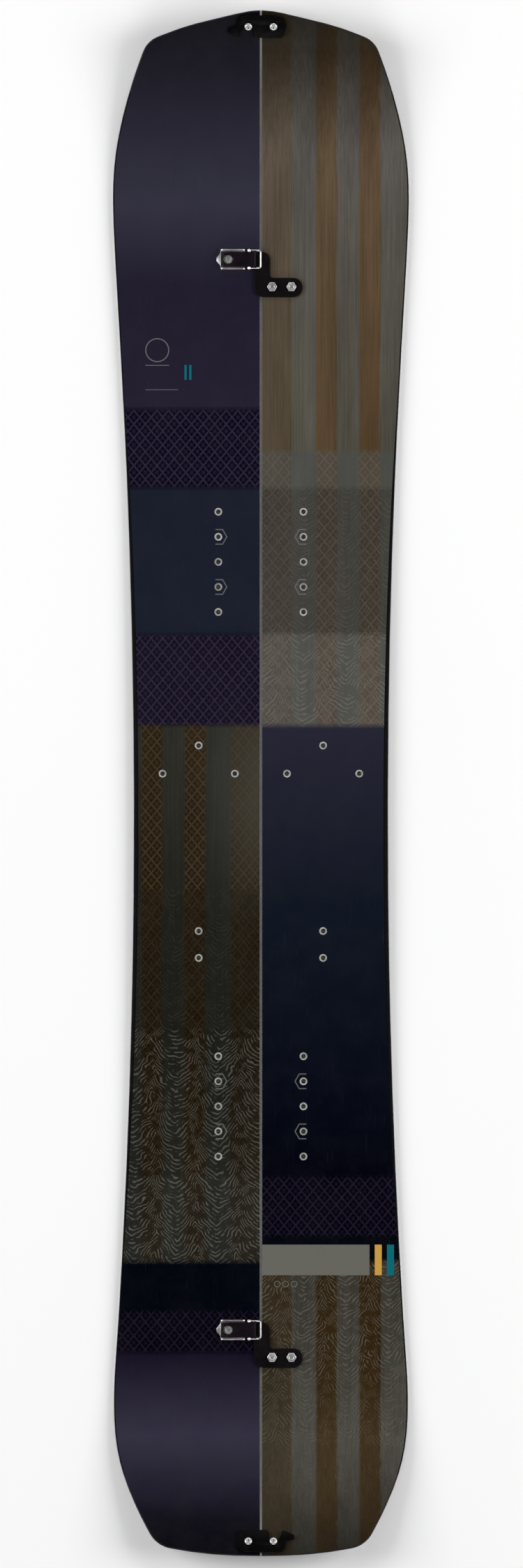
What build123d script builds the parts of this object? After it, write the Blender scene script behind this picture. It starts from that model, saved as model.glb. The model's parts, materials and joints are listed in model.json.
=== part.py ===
from build123d import *
from math import atan, cos, degrees, radians, sin, sqrt, tan
import os

os.makedirs("parts", exist_ok=True)

# A splitboard lying on its base, nose towards +Y, seam on the YZ plane, ground at Z = 0.
# The two halves are held together by two lever clips on the seam and a latch at each tip.

# ---- driving dimensions (mm) ----
half_length = 782.0
nose_half_width = 149.9
waist_half_width = 128.7
tail_half_width = 148.8
waist_y = -36.0

thickness = 8.2  # between the contact zones
tip_thickness = 4.8
base_thickness = 1.2
laminate_thickness = 0.7
topsheet_thickness = 0.6

camber = 4.0
camber_end = 470.0  # where the base first meets the ground
nose_contact_end = 590.0
tail_contact_end = 600.0
nose_angle = 22.0
tail_angle = 20.0
nose_kick_radius = 380.0
tail_kick_radius = 386.0

seam_gap = 0.4  # between the two steel inner edges
steel_width = 2.2
sidewall_width = 5.0
sidewall_inset = 0.5
topsheet_inset = 1.5
topsheet_seam_inset = 1.2
waist_bevel = 4.8  # the sidewall's bevel is widest at the waist and dies out at these two points
bevel_nose = (148.3, 520.0)
bevel_tail = (148.5, -600.0)
seam_wall_setback = 0.05  # behind the steel inner edge
core_end = 700.0  # tip spacers fill the board beyond this
joint_gap = 0.05  # between pieces bonded side by side

# threaded inserts
thread_r = 2.5
barrel_r = 3.9
puck_flange_r = 7.5
clip_flange_r = 5.2
flange_height = 1.0
insert_seat = 2.05  # above the base's running surface
insert_sink = 0.1  # below the topsheet's surface
insert_clearance = 0.05
puck_x = 43.1
puck_pitch = 25.4
nose_puck_y = 224.4
tail_puck_y = -327.4
toe_apex = (63.0, 38.3)
toe_base = [(26.4, 9.8), (99.6, 9.8)]
heel_rest = [(63.0, -149.7), (63.0, -176.9)]

# board clips, measured from the seam and from the lever's centreline
front_clip_y = 531.0
rear_clip_y = -553.9
axle = (-7.5, 5.2)  # across and above the topsheet
bail_pin = (-12.0, 5.4)
bail_bar = (-0.3, 4.5)
pin_r = 1.0
running_clearance = 0.05
wire_r = 0.9
bail_half_width = 8.9
lever_half_width = 7.7
cheek = 1.6
ear_inner = 3.6
ear_outer = 5.6
clip_screw_x = [-32.8, -20.0]
# the low screw under the lever, then the tall one in the lever's eye: across, head radius, height, key radius
clip_screw_heads = [(clip_screw_x[1], 3.6, 1.8, 1.9), (clip_screw_x[0], 4.7, 4.2, 2.6)]
lever_eye_r = 5.1
bracket_bolt_x = [11.3, 30.9]
bracket_bolt_y = -27.8
bracket_thickness = 3.2
screw_shank_r = thread_r - running_clearance

# tip clips, measured in the sloping plane of each tip
tip_bolt_x = 12.7
nose_clip_y = 767.0
tail_clip_y = -768.3
tip_barrel_r = 3.4
tip_shank_r = 2.0
tip_neck_r = 2.5
tip_head_r = 4.0
latch_low = 0.8
latch_top = 3.6

beyond = 40.0  # how far cutting shapes run past the board
over_tips = 100.0  # higher than the raised tips
drill_start = 5.0  # above the topsheet


# ---- outline seen from above ----
# the +X side, from the nose tip clockwise to the tail tip
nose_end_points = [(0, half_length), (32.1, 776.9), (77.2, 765.6), (100.9, 757.1)]
nose_corner = (115.1, 751.6)
nose_flank_points = [
    (120.6, 737.4), (138.6, 680.9), (147.1, 638.5), (nose_half_width, 600), (148.5, 546.7), (142.5, 441),
]
tail_flank_points = [(140.6, -477), (144.8, -548), (tail_half_width, -640), (140.5, -696.4), (116.2, -752.9)]
tail_corner = (106.0, -771.6)
tail_end_points = [(89.2, -774.8), (36.4, -781.2), (0, -half_length)]
nose_corner_radius = 26.0
tail_corner_radius = 30.0

sidecut = ThreePointArc(nose_flank_points[-1], (waist_half_width, waist_y), tail_flank_points[0])
nose_end = Spline(*nose_end_points, tangents=((1, 0), Vector(nose_corner) - Vector(nose_end_points[-1])))
nose_flank = Spline(
    *nose_flank_points, tangents=(Vector(nose_flank_points[0]) - Vector(nose_corner), sidecut % 0)
)
tail_flank = Spline(
    *tail_flank_points, tangents=(sidecut % 1, Vector(tail_corner) - Vector(tail_flank_points[-1]))
)
tail_end = Spline(
    *tail_end_points, tangents=(Vector(tail_end_points[0]) - Vector(tail_corner), (-1, 0))
)


def inward(run):
    # square to a clockwise run, towards the board's middle
    return Vector(run.Y, -run.X)


def inset_curve(curve, points, inset):
    moved = [Vector(point) + inward(curve.tangent_at(Vector(point))) * inset for point in points]
    return Spline(*moved, tangents=(curve % 0, curve % 1))


def inset_corner(before, corner, after, radius, inset):
    into, out = inward(before % 1), inward(after % 0)
    moved = Vector(corner) + (into + out) * (inset / (1 + into.dot(out)))
    FilletPolyline(before @ 1 + into * inset, moved, after @ 0 + out * inset, radius=radius - inset)


def board_outline(inset):
    with BuildSketch() as outline:
        with BuildLine():
            inset_curve(nose_end, nose_end_points, inset)
            inset_corner(nose_end, nose_corner, nose_flank, nose_corner_radius, inset)
            inset_curve(nose_flank, nose_flank_points, inset)
            ThreePointArc(*[sidecut @ at + inward(sidecut % at) * inset for at in (0, 0.5, 1)])
            inset_curve(tail_flank, tail_flank_points, inset)
            inset_corner(tail_flank, tail_corner, tail_end, tail_corner_radius, inset)
            inset_curve(tail_end, tail_end_points, inset)
            mirror(about=Plane.YZ)
        make_face()
    return outline.sketch


def topsheet_outline():
    # the printed top is slimmer than the board at the waist, where the sidewall's bevel is widest
    with BuildSketch() as outline:
        add(board_outline(topsheet_inset))
        with BuildSketch(mode=Mode.SUBTRACT):
            with BuildLine():
                bevel = ThreePointArc(bevel_nose, (waist_half_width - waist_bevel, waist_y), bevel_tail)
                outside = nose_half_width + beyond
                Polyline(bevel @ 1, (outside, bevel_tail[1]), (outside, bevel_nose[1]), bevel @ 0)
            make_face()
            mirror(about=Plane.YZ)
    return outline.sketch


core_inset = sidewall_inset + sidewall_width + joint_gap
sheet_inset = steel_width + joint_gap
insets = (0, steel_width, sheet_inset, sidewall_inset, core_inset - joint_gap, core_inset)
outlines = {inset: board_outline(inset) for inset in insets}
outlines["topsheet"] = topsheet_outline()


past_side = nose_half_width + beyond
past_tip = half_length + beyond


class Plan:
    # one half's share of an outline, between two distances from the seam and two stations along the board
    def __init__(self, inset, x_low, x_high=past_side, y_low=-past_tip, y_high=past_tip, hollow=None):
        self.outline = outlines[inset]
        self.hollow = outlines[hollow] if hollow else None
        self.x_low, self.x_high = x_low, x_high
        self.y_low, self.y_high = y_low, y_high


# ---- lengthwise shape ----
# camber from two tangent arcs each way, a level contact zone, then a kick up to a straight tip
camber_turn = 2 * atan(camber / camber_end)
camber_radius = (camber_end / 2) / sin(camber_turn)


def top_kick_radius(angle, kick_radius):
    # thins the board from its full thickness to the tip's over the kick
    slope = radians(angle)
    return kick_radius + (thickness * cos(slope) - tip_thickness) / (1 - cos(slope))


nose_top_radius = top_kick_radius(nose_angle, nose_kick_radius)
tail_top_radius = top_kick_radius(tail_angle, tail_kick_radius)


def end_line(way, height, kick_radius, contact_end, kick_angle):
    middle = (0, camber + height)
    crown = JernArc(middle, (way, 0), camber_radius + height, -way * degrees(camber_turn))
    JernArc(crown @ 1, crown % 1, camber_radius - height, way * degrees(camber_turn))
    Line((way * camber_end, height), (way * contact_end, height))
    kick = JernArc((way * contact_end, height), (way, 0), kick_radius, way * kick_angle)
    tip = Line(kick @ 1, kick @ 1 + (kick % 1) * 2 * beyond)
    return tip @ 1


def from_base(lift):
    return lift, nose_kick_radius - lift, tail_kick_radius - lift


def from_top(depth):
    return thickness - depth, nose_top_radius + depth, tail_top_radius + depth


def layer_ribbon(low, high):
    with BuildSketch() as ribbon:
        with BuildLine():
            nose_low = end_line(1, low[0], low[1], nose_contact_end, nose_angle)
            nose_high = end_line(1, high[0], high[1], nose_contact_end, nose_angle)
            tail_low = end_line(-1, low[0], low[2], tail_contact_end, tail_angle)
            tail_high = end_line(-1, high[0], high[2], tail_contact_end, tail_angle)
            Line(nose_low, nose_high)
            Line(tail_low, tail_high)
        make_face()
    return ribbon.sketch


def base_height(y):
    y = abs(y)
    if y < camber_end / 2:
        return camber - (camber_radius - sqrt(camber_radius**2 - y**2))
    if y < camber_end:
        return camber_radius - sqrt(camber_radius**2 - (camber_end - y) ** 2)
    return 0.0


def tip_seat(way, clip_y, contact_end, kick_angle, top_radius):
    # the top surface's sloping plane at a tip clip, its local +Y pointing out over the tip
    slope = radians(kick_angle)
    kick_y = contact_end + top_radius * sin(slope)
    kick_z = thickness + top_radius * (1 - cos(slope))
    height = kick_z + (abs(clip_y) - kick_y) * tan(slope)
    return Plane(origin=(0, clip_y, height), x_dir=(way, 0, 0), z_dir=(0, -way * sin(slope), cos(slope)))


nose_seat = tip_seat(1, nose_clip_y, nose_contact_end, nose_angle, nose_top_radius)
tail_seat = tip_seat(-1, tail_clip_y, tail_contact_end, tail_angle, tail_top_radius)


def on_seat(seat, across, along=0.0, above=0.0):
    return Plane(
        origin=seat.from_local_coords((across, along, above)), x_dir=seat.x_dir, z_dir=seat.z_dir
    )


# ---- where the inserts stand, on the +X half ----
puck_points = [
    (puck_x, centre + step * puck_pitch) for centre in (nose_puck_y, tail_puck_y) for step in range(-2, 3)
]
mount_points = puck_points + [toe_apex] + toe_base + heel_rest
clip_lines = (front_clip_y, rear_clip_y)
bracket_points = [(x, y + bracket_bolt_y) for y in clip_lines for x in bracket_bolt_x]
channel_points = [(-x, y) for y in clip_lines for x in clip_screw_x]
clip_points = {1: bracket_points, -1: channel_points}


def seats(side, points, lift):
    return [(side * x, y, base_height(y) + lift) for x, y in points]


def tip_planes(side):
    nose_bolt = on_seat(nose_seat, side * tip_bolt_x, above=drill_start)
    tail_bolt = on_seat(tail_seat, -side * tip_bolt_x, above=drill_start)
    return [nose_bolt, tail_bolt]


# ---- the halves' layers ----
def layer(label, side, plan, low, high, bore_r=0.0, tip_bore_r=0.0, pockets=False):
    with BuildPart() as sheet:
        with BuildSketch():
            add(plan.outline)
        extrude(amount=over_tips)
        if plan.hollow:
            with BuildSketch():
                add(plan.hollow)
            extrude(amount=over_tips, mode=Mode.SUBTRACT)
        with BuildSketch():
            with Locations((side * (plan.x_low + plan.x_high) / 2, (plan.y_low + plan.y_high) / 2)):
                Rectangle(plan.x_high - plan.x_low, plan.y_high - plan.y_low)
        extrude(amount=1.5 * over_tips, both=True, mode=Mode.INTERSECT)
        with BuildSketch(Plane.YZ):
            add(layer_ribbon(low, high))
        extrude(amount=past_side, both=True, mode=Mode.INTERSECT)
        if bore_r:
            with Locations(*seats(side, mount_points + clip_points[side], thickness + drill_start)):
                Hole(radius=bore_r)
        if pockets:
            pocket_top = insert_seat + flange_height + insert_clearance
            with Locations(*seats(side, mount_points, pocket_top)):
                Hole(radius=puck_flange_r + insert_clearance, depth=pocket_top)
            with Locations(*seats(side, clip_points[side], pocket_top)):
                Hole(radius=clip_flange_r + insert_clearance, depth=pocket_top)
        if tip_bore_r:
            with Locations(*tip_planes(side)):
                Hole(radius=tip_bore_r, depth=4 * drill_start)
    sheet.part.label = label
    export_step(sheet.part, f"parts/{label}.step")


steel_top = base_thickness + laminate_thickness
print_depth = topsheet_thickness + laminate_thickness

for name, side in (("left", -1), ("right", 1)):
    steel_start = seam_gap / 2
    steel_end = steel_start + steel_width
    sheet_start = steel_end + joint_gap
    wall_start = steel_start + seam_wall_setback
    wall_end = wall_start + sidewall_width
    core_start = wall_end + joint_gap
    barrel_bore = barrel_r + insert_clearance
    tip_bore = tip_barrel_r + insert_clearance

    outer_strip = Plan(0, sheet_start, hollow=steel_width)
    inner_strip = Plan(0, steel_start, x_high=steel_end)
    sheet = Plan(sheet_inset, sheet_start)
    core = Plan(core_inset, core_start, y_low=-core_end, y_high=core_end)
    outer_wall = Plan(
        sidewall_inset, core_start, y_low=-core_end, y_high=core_end, hollow=core_inset - joint_gap
    )
    inner_wall = Plan(sidewall_inset, wall_start, wall_end, y_low=-core_end, y_high=core_end)
    nose_fill = Plan(sidewall_inset, wall_start, y_low=core_end + joint_gap)
    tail_fill = Plan(sidewall_inset, wall_start, y_high=-core_end - joint_gap)
    printed = Plan("topsheet", topsheet_seam_inset)

    layer(f"{name}_outer_edge", side, outer_strip, from_base(0), from_base(steel_top))
    layer(f"{name}_inner_edge", side, inner_strip, from_base(0), from_base(steel_top))
    layer(f"{name}_base", side, sheet, from_base(0), from_base(base_thickness))
    layer(f"{name}_lower_laminate", side, sheet, from_base(base_thickness), from_base(steel_top))
    layer(
        f"{name}_core", side, core, from_base(steel_top), from_top(print_depth),
        bore_r=barrel_bore, pockets=True,
    )
    layer(f"{name}_outer_sidewall", side, outer_wall, from_base(steel_top), from_top(print_depth))
    layer(f"{name}_inner_sidewall", side, inner_wall, from_base(steel_top), from_top(print_depth))
    layer(
        f"{name}_nose_spacer", side, nose_fill, from_base(steel_top), from_top(print_depth),
        tip_bore_r=tip_bore,
    )
    layer(
        f"{name}_tail_spacer", side, tail_fill, from_base(steel_top), from_top(print_depth),
        tip_bore_r=tip_bore,
    )
    layer(
        f"{name}_upper_laminate", side, printed, from_top(print_depth), from_top(topsheet_thickness),
        bore_r=barrel_bore, tip_bore_r=tip_bore,
    )
    layer(
        f"{name}_topsheet", side, printed, from_top(topsheet_thickness), from_top(0),
        bore_r=barrel_bore, tip_bore_r=tip_bore,
    )


# ---- threaded inserts ----
def inserts(label, side, points, flange_r, at_tips=False):
    barrel_height = thickness - insert_sink - insert_seat
    with BuildPart() as group:
        with Locations(*seats(side, points, insert_seat)):
            Cylinder(flange_r, flange_height, align=(Align.CENTER, Align.CENTER, Align.MIN))
            Cylinder(barrel_r, barrel_height, align=(Align.CENTER, Align.CENTER, Align.MIN))
            Cylinder(thread_r, 3 * barrel_height, mode=Mode.SUBTRACT)
        if at_tips:
            tip_height = tip_thickness - steel_top - insert_sink - joint_gap
            for seat, across in ((nose_seat, side * tip_bolt_x), (tail_seat, -side * tip_bolt_x)):
                with BuildSketch(on_seat(seat, across, above=-insert_sink)):
                    Circle(tip_barrel_r)
                    Circle(tip_shank_r + running_clearance, mode=Mode.SUBTRACT)
                extrude(amount=-tip_height)
    group.part.label = label
    export_step(group.part, f"parts/{label}.step")


for name, side in (("left", -1), ("right", 1)):
    inserts(f"{name}_mount_inserts", side, mount_points, puck_flange_r)
    inserts(f"{name}_clip_inserts", side, clip_points[side], clip_flange_r, at_tips=True)


# ---- board clips ----
def across_plane(y, height=thickness):
    # side view of a clip: local X across the board, local Y up, extruded along the board
    return Plane(origin=(0, y, height), x_dir=(1, 0, 0), z_dir=(0, -1, 0))


def clip_channel(place, y):
    plate = 1.2
    wall_height = 5.2
    back, front, half_width, wall = -41.0, -15.8, 10.2, 1.3
    ear_r = 1.8
    with BuildPart() as channel:
        with BuildSketch(Plane(origin=(0, y, thickness))):
            with BuildLine():
                Polyline(
                    (-45, 1.5), (back, 6.5), (back, half_width), (front, half_width), (front, ear_outer),
                    (-5.5, ear_outer), (-5.5, -ear_outer), (front, -ear_outer), (front, -half_width),
                    (back, -half_width), (back, -6.5), (-45, -1.5), close=True,
                )
            make_face()
        extrude(amount=plate)
        with BuildSketch(Plane(origin=(0, y, thickness + plate))):
            for way in (-1, 1):
                with Locations(((back + front) / 2, way * (half_width - wall / 2))):
                    Rectangle(front - back, wall)
        extrude(amount=wall_height)
        wall_ends = channel.edges().filter_by(Axis.Y).group_by(Axis.Z)[-1]
        fillet(wall_ends, 2.5)
        with BuildSketch(across_plane(y)):
            with Locations(axle):
                Circle(ear_r)
            with Locations((axle[0], (plate + axle[1]) / 2)):
                Rectangle(2 * ear_r, axle[1] - plate)
        extrude(amount=ear_outer, both=True)
        with BuildSketch(across_plane(y)):
            with Locations((axle[0], plate + 4)):
                Rectangle(6, 8)
        extrude(amount=ear_inner, both=True, mode=Mode.SUBTRACT)
        with BuildSketch(across_plane(y)):
            with Locations(axle):
                Circle(pin_r + running_clearance)
        extrude(amount=ear_outer + 1, both=True, mode=Mode.SUBTRACT)
        with Locations(*[(x, y, thickness + plate) for x in clip_screw_x]):
            Hole(radius=thread_r + 0.1, depth=2 * plate)
    channel.part.label = f"{place}_clip_channel"
    export_step(channel.part, f"parts/{channel.part.label}.step")


def clip_screws(place, y):
    seat = thickness + 1.2
    with BuildPart() as screws:
        for across, head_r, head_height, key_r in clip_screw_heads:
            with Locations((across, y, seat)):
                Cylinder(head_r, head_height, align=(Align.CENTER, Align.CENTER, Align.MIN))
                Cylinder(screw_shank_r, 6.2, align=(Align.CENTER, Align.CENTER, Align.MAX))
            fillet(screws.edges().filter_by(GeomType.CIRCLE).sort_by(Axis.Z)[-1], 0.6)
            with BuildSketch(Plane(origin=(across, y, seat + head_height))):
                RegularPolygon(key_r, 6)
            extrude(amount=-1.2, mode=Mode.SUBTRACT)
    screws.part.label = f"{place}_clip_screws"
    export_step(screws.part, f"parts/{screws.part.label}.step")


def clip_lever(place, y):
    shell = 1.4
    top = 8.6
    with BuildPart() as lever:
        with BuildSketch(across_plane(y)):
            with Locations(axle):
                Circle(top - axle[1])
            with BuildLine():
                Polyline(
                    (axle[0], top), (-30, top + 0.2), (-37.6, 8.0), (-40.4, 6.4), (-40.4, 4.0), (-37, 3.2),
                    (-12, 2.2), (axle[0], axle[1] + axle[1] - top), close=True,
                )
            make_face()
        extrude(amount=lever_half_width, both=True)
        long_top_edges = lever.edges().filter_by(Axis.X, reverse=True).filter_by(GeomType.LINE)
        upper_edges = long_top_edges.filter_by(lambda edge: edge.center().Z > thickness + 6)
        fillet(upper_edges.filter_by(lambda edge: abs(edge.center().Y - y) > lever_half_width - 0.7), 0.7)
        with BuildSketch(across_plane(y)):
            with BuildLine():
                Polyline(
                    (-2, -2), (-2, top - shell), (-30, top - shell), (-37.2, 6.6), (-38.9, 5.6), (-38.9, -2),
                    close=True,
                )
            make_face()
        extrude(amount=lever_half_width - cheek, both=True, mode=Mode.SUBTRACT)
        with BuildSketch(across_plane(y)):
            with Locations(axle, bail_pin):
                Circle(pin_r + running_clearance)
        extrude(amount=lever_half_width + 1, both=True, mode=Mode.SUBTRACT)
        with Locations((clip_screw_x[0], y, thickness + top + 1)):
            Hole(radius=lever_eye_r, depth=4)
        # finger grip ribs and a plain raised panel
        with BuildSketch(Plane(origin=(0, y, thickness + top - 0.4))):
            with Locations((-17.5, 0)):
                SlotOverall(17, 9)
                SlotOverall(15, 7, mode=Mode.SUBTRACT)
            for step in range(3):
                with Locations((-21 + 3.5 * step, 0)):
                    Rectangle(1.2, 5)
        extrude(amount=0.8)
    lever.part.label = f"{place}_lever"
    export_step(lever.part, f"parts/{lever.part.label}.step")


def lever_axle(place, y):
    with BuildPart() as rod:
        with BuildSketch(across_plane(y)):
            with Locations(axle):
                Circle(pin_r)
        extrude(amount=lever_half_width - 0.1, both=True)
    rod.part.label = f"{place}_lever_axle"
    export_step(rod.part, f"parts/{rod.part.label}.step")


def clip_bail_pin(place, y):
    shank = bail_half_width + wire_r + 0.15
    with BuildPart() as rod:
        with BuildSketch(across_plane(y)):
            with Locations(bail_pin):
                Circle(pin_r + 0.5)
        extrude(amount=shank + 0.5, both=True)
        with BuildSketch(across_plane(y)):
            with Locations(bail_pin):
                Circle(pin_r + 1)
                Circle(pin_r, mode=Mode.SUBTRACT)
        extrude(amount=shank, both=True, mode=Mode.SUBTRACT)
    rod.part.label = f"{place}_bail_pin"
    export_step(rod.part, f"parts/{rod.part.label}.step")


def clip_bail(place, y):
    reach = Vector(bail_bar[0] - bail_pin[0], 0, bail_bar[1] - bail_pin[1])
    flat = Plane(
        origin=(bail_pin[0], y, thickness + bail_pin[1]), x_dir=reach, z_dir=(-reach.Z, 0, reach.X)
    )
    eye_r = 1.9
    with BuildPart() as bail:
        with BuildLine(flat) as wire:
            FilletPolyline(
                (1.3, -bail_half_width), (reach.length, -bail_half_width),
                (reach.length, bail_half_width), (1.3, bail_half_width), radius=2.2,
            )
        with BuildSketch(Plane(origin=wire.line @ 0, z_dir=wire.line % 0)):
            Circle(wire_r)
        sweep()
        for way in (-1, 1):
            with BuildSketch(across_plane(y + way * bail_half_width)):
                with Locations(bail_pin):
                    Circle(eye_r)
            extrude(amount=wire_r, both=True)
        with BuildSketch(across_plane(y)):
            with Locations(bail_pin):
                Circle(pin_r + running_clearance)
        extrude(amount=2 * bail_half_width, both=True, mode=Mode.SUBTRACT)
    bail.part.label = f"{place}_bail"
    export_step(bail.part, f"parts/{bail.part.label}.step")


def hook_bracket(place, y):
    relief = 0.4
    with BuildPart() as bracket:
        with BuildSketch(Plane(origin=(0, y, thickness))):
            with BuildLine():
                Polyline((-3.5, 7.65), (-3.5, -9.0), (-6.8, -9.0), (-6.8, -28.4))
                JernArc((-6.8, -28.4), (0, -1), 10, 90)
                Line((3.2, -38.4), (32.5, -38.4))
                JernArc((32.5, -38.4), (1, 0), 9.8, 180)
                FilletPolyline((32.5, -18.8), (9.5, -18.8), (9.5, -1.0), radius=3)
                JernArc((9.5, -1.0), (0, 1), 8.65, 90)
                Line((0.85, 7.65), (-3.5, 7.65))
            make_face()
        extrude(amount=bracket_thickness)
        fillet(bracket.faces().sort_by(Axis.Z)[-1].edges(), 0.8)
        # lip that holds the bail's bar
        with BuildSketch(Plane(origin=(0, y, thickness + bracket_thickness - 1))):
            with Locations((-2.8, 0)):
                RectangleRounded(1.4, 14.2, 0.4)
        extrude(amount=2)
        # clear of the other half's topsheet
        with BuildSketch(Plane(origin=(0, y, thickness))):
            with Locations((-19, -15)):
                Rectangle(40, 60)
        extrude(amount=relief, mode=Mode.SUBTRACT)
        with Locations(*[(x, y + bracket_bolt_y, thickness + bracket_thickness) for x in bracket_bolt_x]):
            Hole(radius=thread_r + 0.2, depth=bracket_thickness)
    bracket.part.label = f"{place}_hook_bracket"
    export_step(bracket.part, f"parts/{bracket.part.label}.step")


def bracket_bolts(place, y):
    seat = thickness + bracket_thickness
    head_height = 3.0
    points = [(x, y + bracket_bolt_y) for x in bracket_bolt_x]
    with BuildPart() as bolts:
        with Locations(*[(px, py, seat) for px, py in points]):
            Cylinder(screw_shank_r, bracket_thickness + 5.2, align=(Align.CENTER, Align.CENTER, Align.MAX))
        with BuildSketch(Plane.XY.offset(seat)):
            with Locations(*points):
                RegularPolygon(5.2, 6)
        extrude(amount=head_height)
        chamfer(bolts.faces().sort_by(Axis.Z)[-2:].edges(), 0.5)
        with BuildSketch(Plane.XY.offset(seat + head_height)):
            with Locations(*points):
                Circle(2.2)
        extrude(amount=-1.6, mode=Mode.SUBTRACT)
    bolts.part.label = f"{place}_bracket_bolts"
    export_step(bolts.part, f"parts/{bolts.part.label}.step")


for place, y in (("front", front_clip_y), ("rear", rear_clip_y)):
    clip_channel(place, y)
    clip_screws(place, y)
    clip_lever(place, y)
    lever_axle(place, y)
    clip_bail_pin(place, y)
    clip_bail(place, y)
    hook_bracket(place, y)
    bracket_bolts(place, y)


# ---- tip clips ----
def tip_latch(end, seat):
    slot_r = tip_neck_r + 1.0
    post_x = -tip_bolt_x
    with BuildPart() as latch:
        with BuildSketch(on_seat(seat, 0, above=latch_low)):
            with BuildLine():
                body = Polyline(
                    (post_x - slot_r, 0), (-20.5, -6.6), (-21.9, -12.0), (-24.5, -11.4), (-33.6, -7.0),
                    (-34.0, -3.4), (-25.6, -1.6), (-24.6, 5.2), (-21.4, 9.4), (-13.5, 11.5), (16.2, 10.8),
                    (23.2, 7.6), (25.7, 0), (23.4, -9.4), (20.6, -12.6), (-6.1, -12.4), (-8.1, -8.4),
                    (post_x + slot_r, 0),
                )
                ThreePointArc(body @ 1, (post_x, slot_r), body @ 0)
            make_face()
            corners = [v for v in vertices() if abs(v.Y) > 1 and v.X < 24 and abs(v.X + 8.1) > 0.1]
            fillet([v for v in corners if abs(v.X + 20.5) > 0.1], 0.9)
        extrude(amount=latch_top - latch_low)
        with Locations(on_seat(seat, tip_bolt_x, above=latch_top)):
            Hole(radius=tip_neck_r + running_clearance, depth=latch_top)
    latch.part.label = f"{end}_latch"
    export_step(latch.part, f"parts/{latch.part.label}.step")


def tip_bolt(label, seat, across):
    # a neck that the latch turns on or hooks, a domed head above it and a threaded shank below
    head_low = latch_top + 0.3
    head_height = 2.6
    with BuildPart() as bolt:
        with BuildSketch(on_seat(seat, across, above=head_low)):
            Circle(tip_head_r)
        extrude(amount=head_height)
        dome = bolt.edges().filter_by(GeomType.CIRCLE).sort_by(Axis.Z)[-1]
        fillet(dome, 1.9)
        with BuildSketch(on_seat(seat, across, above=head_low)):
            Circle(tip_neck_r)
        extrude(amount=-head_low)
        with BuildSketch(on_seat(seat, across)):
            Circle(tip_shank_r)
        extrude(amount=-(tip_thickness - steel_top - 2 * joint_gap))
        with BuildSketch(on_seat(seat, across, above=head_low + head_height)):
            RegularPolygon(1.5, 6)
        extrude(amount=-1.5, mode=Mode.SUBTRACT)
    bolt.part.label = label
    export_step(bolt.part, f"parts/{label}.step")


def tip_washer(label, seat, across, outer_r):
    with BuildPart() as washer:
        with BuildSketch(on_seat(seat, across)):
            Circle(outer_r)
            Circle(tip_neck_r + running_clearance, mode=Mode.SUBTRACT)
        extrude(amount=0.5)
    washer.part.label = label
    export_step(washer.part, f"parts/{label}.step")


for end, seat in (("nose", nose_seat), ("tail", tail_seat)):
    tip_latch(end, seat)
    tip_bolt(f"{end}_pivot_bolt", seat, tip_bolt_x)
    tip_bolt(f"{end}_post_bolt", seat, -tip_bolt_x)
    tip_washer(f"{end}_pivot_washer", seat, tip_bolt_x, 5.5)
    tip_washer(f"{end}_post_washer", seat, -tip_bolt_x, 5.0)
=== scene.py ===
import json
import math
import bmesh
import bpy
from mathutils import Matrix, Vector
from mathutils.bvhtree import BVHTree


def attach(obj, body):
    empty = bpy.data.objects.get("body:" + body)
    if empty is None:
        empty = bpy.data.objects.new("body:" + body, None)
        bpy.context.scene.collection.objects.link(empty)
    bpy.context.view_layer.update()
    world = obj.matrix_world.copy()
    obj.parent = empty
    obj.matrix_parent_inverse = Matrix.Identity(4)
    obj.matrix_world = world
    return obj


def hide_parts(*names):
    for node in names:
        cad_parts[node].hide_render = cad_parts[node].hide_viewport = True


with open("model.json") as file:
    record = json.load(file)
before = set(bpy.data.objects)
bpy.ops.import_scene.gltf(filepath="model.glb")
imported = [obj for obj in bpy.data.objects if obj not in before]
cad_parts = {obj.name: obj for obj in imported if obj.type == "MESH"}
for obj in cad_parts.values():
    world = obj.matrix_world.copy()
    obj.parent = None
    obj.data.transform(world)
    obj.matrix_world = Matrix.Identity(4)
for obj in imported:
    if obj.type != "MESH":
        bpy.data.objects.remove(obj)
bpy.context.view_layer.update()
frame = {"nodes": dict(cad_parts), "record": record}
cadNodes = frame["nodes"]
print("frame in place,", len(cadNodes), "nodes")

# camera and light
studio = {
    "lens": 500.0,
    "tall": 1.589,          # metres of the scene along the picture's long side
    "centre": (0.0006, -0.0007),
    "deck": 0.011,
    "floor": (0.97, 0.97, 0.97),
    "sky": 0.015,           # straight above, what the gloss mirrors
    "horizon": 0.85,
    "sideLamps": 122.0,
    "endLamps": 60.0,
}


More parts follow.
